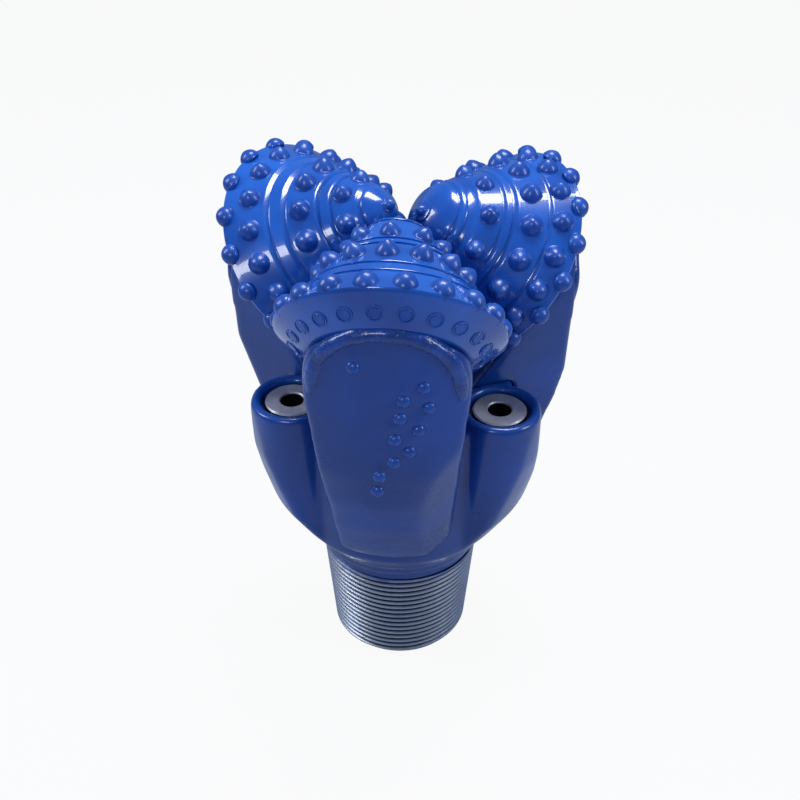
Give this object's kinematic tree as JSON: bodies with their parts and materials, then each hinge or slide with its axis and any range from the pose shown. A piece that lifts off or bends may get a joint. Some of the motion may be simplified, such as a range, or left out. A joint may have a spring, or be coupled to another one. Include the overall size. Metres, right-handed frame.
{
  "type": "tricone drill bit",
  "caption": "Rotary rock bit with intermeshing roller cones on leaning journals, hard insert rows, jet nozzles between the legs and a bored tapered pin.",
  "frame": {"origin": "centre of the pin's end face, on the bit's axis", "axes": "+Z along the bit's axis from the pin towards the cones; -Y is the middle of the first leg; the other legs stand at 120 degrees to it"},
  "size_m": [0.3085, 0.2941, 0.4843],
  "materials": {
    "body_paint": "glossy deep blue enamel sprayed over machined steel, bare at the thread",
    "leg_paint": "deep blue enamel over forged steel, satin with a cast texture",
    "cone_paint": "glossy blue enamel over turned steel",
    "carbide_paint": "blue enamel over tungsten carbide, thin on the tips",
    "nozzle_steel": "pale ground steel jacket",
    "spring_steel": "dark spring steel",
    "seal_rubber": "black nitrile",
    "bearing_bronze": "silver-plated bearing bronze, unlapped",
    "roller_steel": "ground and polished bearing steel"
  },
  "bodies": {
    "bit_body": {"shank": "body_paint", "leg_1": "leg_paint", "ball_plug_1": "leg_paint", "thrust_disc_1": "bearing_bronze", "shirttail_studs_1": "carbide_paint", "hardfacing_1": "leg_paint", "nozzle_1": "nozzle_steel", "nozzle_o_ring_1": "seal_rubber", "nozzle_snap_ring_1": "spring_steel", "leg_2": "leg_paint", "ball_plug_2": "leg_paint", "thrust_disc_2": "bearing_bronze", "shirttail_studs_2": "carbide_paint", "hardfacing_2": "leg_paint", "nozzle_2": "nozzle_steel", "nozzle_o_ring_2": "seal_rubber", "nozzle_snap_ring_2": "spring_steel", "leg_3": "leg_paint", "ball_plug_3": "leg_paint", "thrust_disc_3": "bearing_bronze", "shirttail_studs_3": "carbide_paint", "hardfacing_3": "leg_paint", "nozzle_3": "nozzle_steel", "nozzle_o_ring_3": "seal_rubber", "nozzle_snap_ring_3": "spring_steel"},
    "cone_body_1": {"cone_1": "cone_paint", "cone_thrust_plug_1": "bearing_bronze", "cone_1_inner_inserts": "carbide_paint", "cone_1_middle_inserts": "carbide_paint", "cone_1_outer_inserts": "carbide_paint", "cone_1_heel_inserts": "carbide_paint", "cone_1_gauge_inserts": "carbide_paint", "cone_1_nose_inserts": "carbide_paint"},
    "heel_roller_set_1": {"heel_rollers_1": "roller_steel"},
    "ball_set_1": {"locking_balls_1": "roller_steel"},
    "nose_roller_set_1": {"nose_rollers_1": "roller_steel"},
    "cone_body_2": {"cone_2": "cone_paint", "cone_thrust_plug_2": "bearing_bronze", "cone_2_inner_inserts": "carbide_paint", "cone_2_middle_inserts": "carbide_paint", "cone_2_outer_inserts": "carbide_paint", "cone_2_heel_inserts": "carbide_paint", "cone_2_gauge_inserts": "carbide_paint", "cone_2_nose_inserts": "carbide_paint"},
    "heel_roller_set_2": {"heel_rollers_2": "roller_steel"},
    "ball_set_2": {"locking_balls_2": "roller_steel"},
    "nose_roller_set_2": {"nose_rollers_2": "roller_steel"},
    "cone_body_3": {"cone_3": "cone_paint", "cone_thrust_plug_3": "bearing_bronze", "cone_3_inner_inserts": "carbide_paint", "cone_3_middle_inserts": "carbide_paint", "cone_3_outer_inserts": "carbide_paint", "cone_3_heel_inserts": "carbide_paint", "cone_3_gauge_inserts": "carbide_paint", "cone_3_nose_inserts": "carbide_paint"},
    "heel_roller_set_3": {"heel_rollers_3": "roller_steel"},
    "ball_set_3": {"locking_balls_3": "roller_steel"},
    "nose_roller_set_3": {"nose_rollers_3": "roller_steel"}
  },
  "joints": [
    {"name": "cone_1_spin", "type": "hinge", "parent": "bit_body", "child": "cone_body_1", "pos_m": [0, -0.08899, 0.40534], "axis": [0, 0.809, 0.5878], "continuous": true},
    {"name": "heel_roller_set_1_roll", "type": "hinge", "parent": "bit_body", "child": "heel_roller_set_1", "pos_m": [0, -0.08899, 0.40534], "axis": [0, 0.809, 0.5878], "continuous": true},
    {"name": "ball_set_1_roll", "type": "hinge", "parent": "bit_body", "child": "ball_set_1", "pos_m": [0, -0.08899, 0.40534], "axis": [0, 0.809, 0.5878], "continuous": true},
    {"name": "nose_roller_set_1_roll", "type": "hinge", "parent": "bit_body", "child": "nose_roller_set_1", "pos_m": [0, -0.08899, 0.40534], "axis": [0, 0.809, 0.5878], "continuous": true},
    {"name": "cone_2_spin", "type": "hinge", "parent": "bit_body", "child": "cone_body_2", "pos_m": [0.07707, 0.0445, 0.40534], "axis": [-0.7006, -0.4045, 0.5878], "continuous": true},
    {"name": "heel_roller_set_2_roll", "type": "hinge", "parent": "bit_body", "child": "heel_roller_set_2", "pos_m": [0.07707, 0.0445, 0.40534], "axis": [-0.7006, -0.4045, 0.5878], "continuous": true},
    {"name": "ball_set_2_roll", "type": "hinge", "parent": "bit_body", "child": "ball_set_2", "pos_m": [0.07707, 0.0445, 0.40534], "axis": [-0.7006, -0.4045, 0.5878], "continuous": true},
    {"name": "nose_roller_set_2_roll", "type": "hinge", "parent": "bit_body", "child": "nose_roller_set_2", "pos_m": [0.07707, 0.0445, 0.40534], "axis": [-0.7006, -0.4045, 0.5878], "continuous": true},
    {"name": "cone_3_spin", "type": "hinge", "parent": "bit_body", "child": "cone_body_3", "pos_m": [-0.07707, 0.0445, 0.40534], "axis": [0.7006, -0.4045, 0.5878], "continuous": true},
    {"name": "heel_roller_set_3_roll", "type": "hinge", "parent": "bit_body", "child": "heel_roller_set_3", "pos_m": [-0.07707, 0.0445, 0.40534], "axis": [0.7006, -0.4045, 0.5878], "continuous": true},
    {"name": "ball_set_3_roll", "type": "hinge", "parent": "bit_body", "child": "ball_set_3", "pos_m": [-0.07707, 0.0445, 0.40534], "axis": [0.7006, -0.4045, 0.5878], "continuous": true},
    {"name": "nose_roller_set_3_roll", "type": "hinge", "parent": "bit_body", "child": "nose_roller_set_3", "pos_m": [-0.07707, 0.0445, 0.40534], "axis": [0.7006, -0.4045, 0.5878], "continuous": true}
  ],
  "couplings": [
    {"joint": "heel_roller_set_1_roll", "follows": "cone_1_spin", "ratio": 0.57},
    {"joint": "ball_set_1_roll", "follows": "cone_1_spin", "ratio": 0.58333},
    {"joint": "nose_roller_set_1_roll", "follows": "cone_1_spin", "ratio": 0.58413},
    {"joint": "heel_roller_set_2_roll", "follows": "cone_2_spin", "ratio": 0.57},
    {"joint": "ball_set_2_roll", "follows": "cone_2_spin", "ratio": 0.58333},
    {"joint": "nose_roller_set_2_roll", "follows": "cone_2_spin", "ratio": 0.58413},
    {"joint": "heel_roller_set_3_roll", "follows": "cone_3_spin", "ratio": 0.57},
    {"joint": "ball_set_3_roll", "follows": "cone_3_spin", "ratio": 0.58333},
    {"joint": "nose_roller_set_3_roll", "follows": "cone_3_spin", "ratio": 0.58413}
  ]
}
